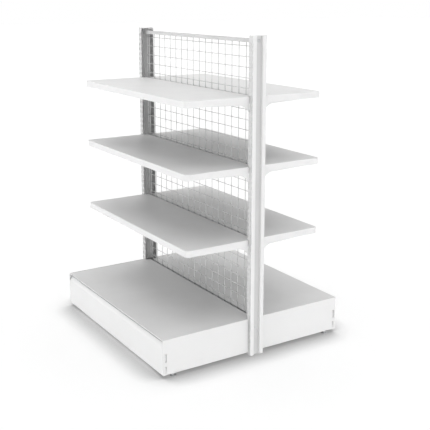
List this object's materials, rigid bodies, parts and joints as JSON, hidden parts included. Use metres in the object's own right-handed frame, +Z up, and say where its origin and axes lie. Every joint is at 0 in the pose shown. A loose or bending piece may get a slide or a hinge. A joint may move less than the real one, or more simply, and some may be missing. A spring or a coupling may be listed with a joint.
{
  "type": "gondola shelving bay",
  "caption": "Double-sided shop shelving bay with slotted uprights, a wire grid back, hooked brackets, lift-off sheet shelves, a closed base with kick plates and levelling feet.",
  "frame": {"origin": "on the floor, under the middle of the bay", "axes": "+X along the bay, +Y across it to the rear side, +Z up"},
  "size_m": [1.03, 0.94, 1.4195],
  "materials": {
    "frame_coat": "white powder coat, satin",
    "panel_coat": "white powder coat, satin",
    "grid_coat": "light grey powder coat, smooth",
    "galvanised_sheet": "galvanised, dull",
    "zinc_plate": "bright zinc plate",
    "cap_plastic": "moulded, matt"
  },
  "bodies": {
    "frame": {"upright_left": "frame_coat", "upright_right": "frame_coat", "upright_cap_left": "cap_plastic", "upright_cap_right": "cap_plastic", "top_rail": "grid_coat", "bottom_rail": "grid_coat", "rail_bolts": "zinc_plate", "rail_nuts": "zinc_plate", "wire_grid": "grid_coat", "base_leg_front_left": "frame_coat", "base_leg_front_right": "frame_coat", "base_leg_rear_left": "frame_coat", "base_leg_rear_right": "frame_coat", "bracket_lower_front_left": "frame_coat", "bracket_lower_front_right": "frame_coat", "bracket_lower_rear_left": "frame_coat", "bracket_lower_rear_right": "frame_coat", "bracket_middle_front_left": "frame_coat", "bracket_middle_front_right": "frame_coat", "bracket_middle_rear_left": "frame_coat", "bracket_middle_rear_right": "frame_coat", "bracket_upper_front_left": "frame_coat", "bracket_upper_front_right": "frame_coat", "bracket_upper_rear_left": "frame_coat", "bracket_upper_rear_right": "frame_coat", "foot_nuts": "zinc_plate"},
    "shelf_lower_front": {"shelf_lower_front": "panel_coat", "stiffener_lower_front": "galvanised_sheet"},
    "shelf_lower_rear": {"shelf_lower_rear": "panel_coat", "stiffener_lower_rear": "galvanised_sheet"},
    "shelf_middle_front": {"shelf_middle_front": "panel_coat", "stiffener_middle_front": "galvanised_sheet"},
    "shelf_middle_rear": {"shelf_middle_rear": "panel_coat", "stiffener_middle_rear": "galvanised_sheet"},
    "shelf_upper_front": {"shelf_upper_front": "panel_coat", "stiffener_upper_front": "galvanised_sheet"},
    "shelf_upper_rear": {"shelf_upper_rear": "panel_coat", "stiffener_upper_rear": "galvanised_sheet"},
    "base_deck_front": {"base_deck_front": "panel_coat", "deck_stiffener_front": "galvanised_sheet"},
    "base_deck_rear": {"base_deck_rear": "panel_coat", "deck_stiffener_rear": "galvanised_sheet"},
    "kick_plate_front": {"kick_plate_front": "panel_coat"},
    "kick_plate_rear": {"kick_plate_rear": "panel_coat"},
    "foot_front_left": {"foot_front_left": "zinc_plate"},
    "foot_front_right": {"foot_front_right": "zinc_plate"},
    "foot_rear_left": {"foot_rear_left": "zinc_plate"},
    "foot_rear_right": {"foot_rear_right": "zinc_plate"},
    "foot_upright_left": {"foot_upright_left": "zinc_plate"},
    "foot_upright_right": {"foot_upright_right": "zinc_plate"}
  },
  "joints": [
    {"name": "shelf_lower_front_lift", "type": "slide", "parent": "frame", "child": "shelf_lower_front", "axis": [0, 0, 1], "range_m": [0, 0.12]},
    {"name": "shelf_lower_rear_lift", "type": "slide", "parent": "frame", "child": "shelf_lower_rear", "axis": [0, 0, 1], "range_m": [0, 0.12]},
    {"name": "shelf_middle_front_lift", "type": "slide", "parent": "frame", "child": "shelf_middle_front", "axis": [0, 0, 1], "range_m": [0, 0.12]},
    {"name": "shelf_middle_rear_lift", "type": "slide", "parent": "frame", "child": "shelf_middle_rear", "axis": [0, 0, 1], "range_m": [0, 0.12]},
    {"name": "shelf_upper_front_lift", "type": "slide", "parent": "frame", "child": "shelf_upper_front", "axis": [0, 0, 1], "range_m": [0, 0.12]},
    {"name": "shelf_upper_rear_lift", "type": "slide", "parent": "frame", "child": "shelf_upper_rear", "axis": [0, 0, 1], "range_m": [0, 0.12]},
    {"name": "base_deck_front_lift", "type": "slide", "parent": "frame", "child": "base_deck_front", "axis": [0, 0, 1], "range_m": [0, 0.15]},
    {"name": "base_deck_rear_lift", "type": "slide", "parent": "frame", "child": "base_deck_rear", "axis": [0, 0, 1], "range_m": [0, 0.15]},
    {"name": "kick_plate_front_pull", "type": "slide", "parent": "frame", "child": "kick_plate_front", "axis": [0, -1, 0], "range_m": [0, 0.12]},
    {"name": "kick_plate_rear_pull", "type": "slide", "parent": "frame", "child": "kick_plate_rear", "axis": [0, 1, 0], "range_m": [0, 0.12]},
    {"name": "foot_front_left_screw_out", "type": "slide", "parent": "frame", "child": "foot_front_left", "axis": [0, 0, -1], "range_m": [0, 0.015]},
    {"name": "foot_front_right_screw_out", "type": "slide", "parent": "frame", "child": "foot_front_right", "axis": [0, 0, -1], "range_m": [0, 0.015]},
    {"name": "foot_rear_left_screw_out", "type": "slide", "parent": "frame", "child": "foot_rear_left", "axis": [0, 0, -1], "range_m": [0, 0.015]},
    {"name": "foot_rear_right_screw_out", "type": "slide", "parent": "frame", "child": "foot_rear_right", "axis": [0, 0, -1], "range_m": [0, 0.015]},
    {"name": "foot_upright_left_screw_out", "type": "slide", "parent": "frame", "child": "foot_upright_left", "axis": [0, 0, -1], "range_m": [0, 0.015]},
    {"name": "foot_upright_right_screw_out", "type": "slide", "parent": "frame", "child": "foot_upright_right", "axis": [0, 0, -1], "range_m": [0, 0.015]}
  ]
}
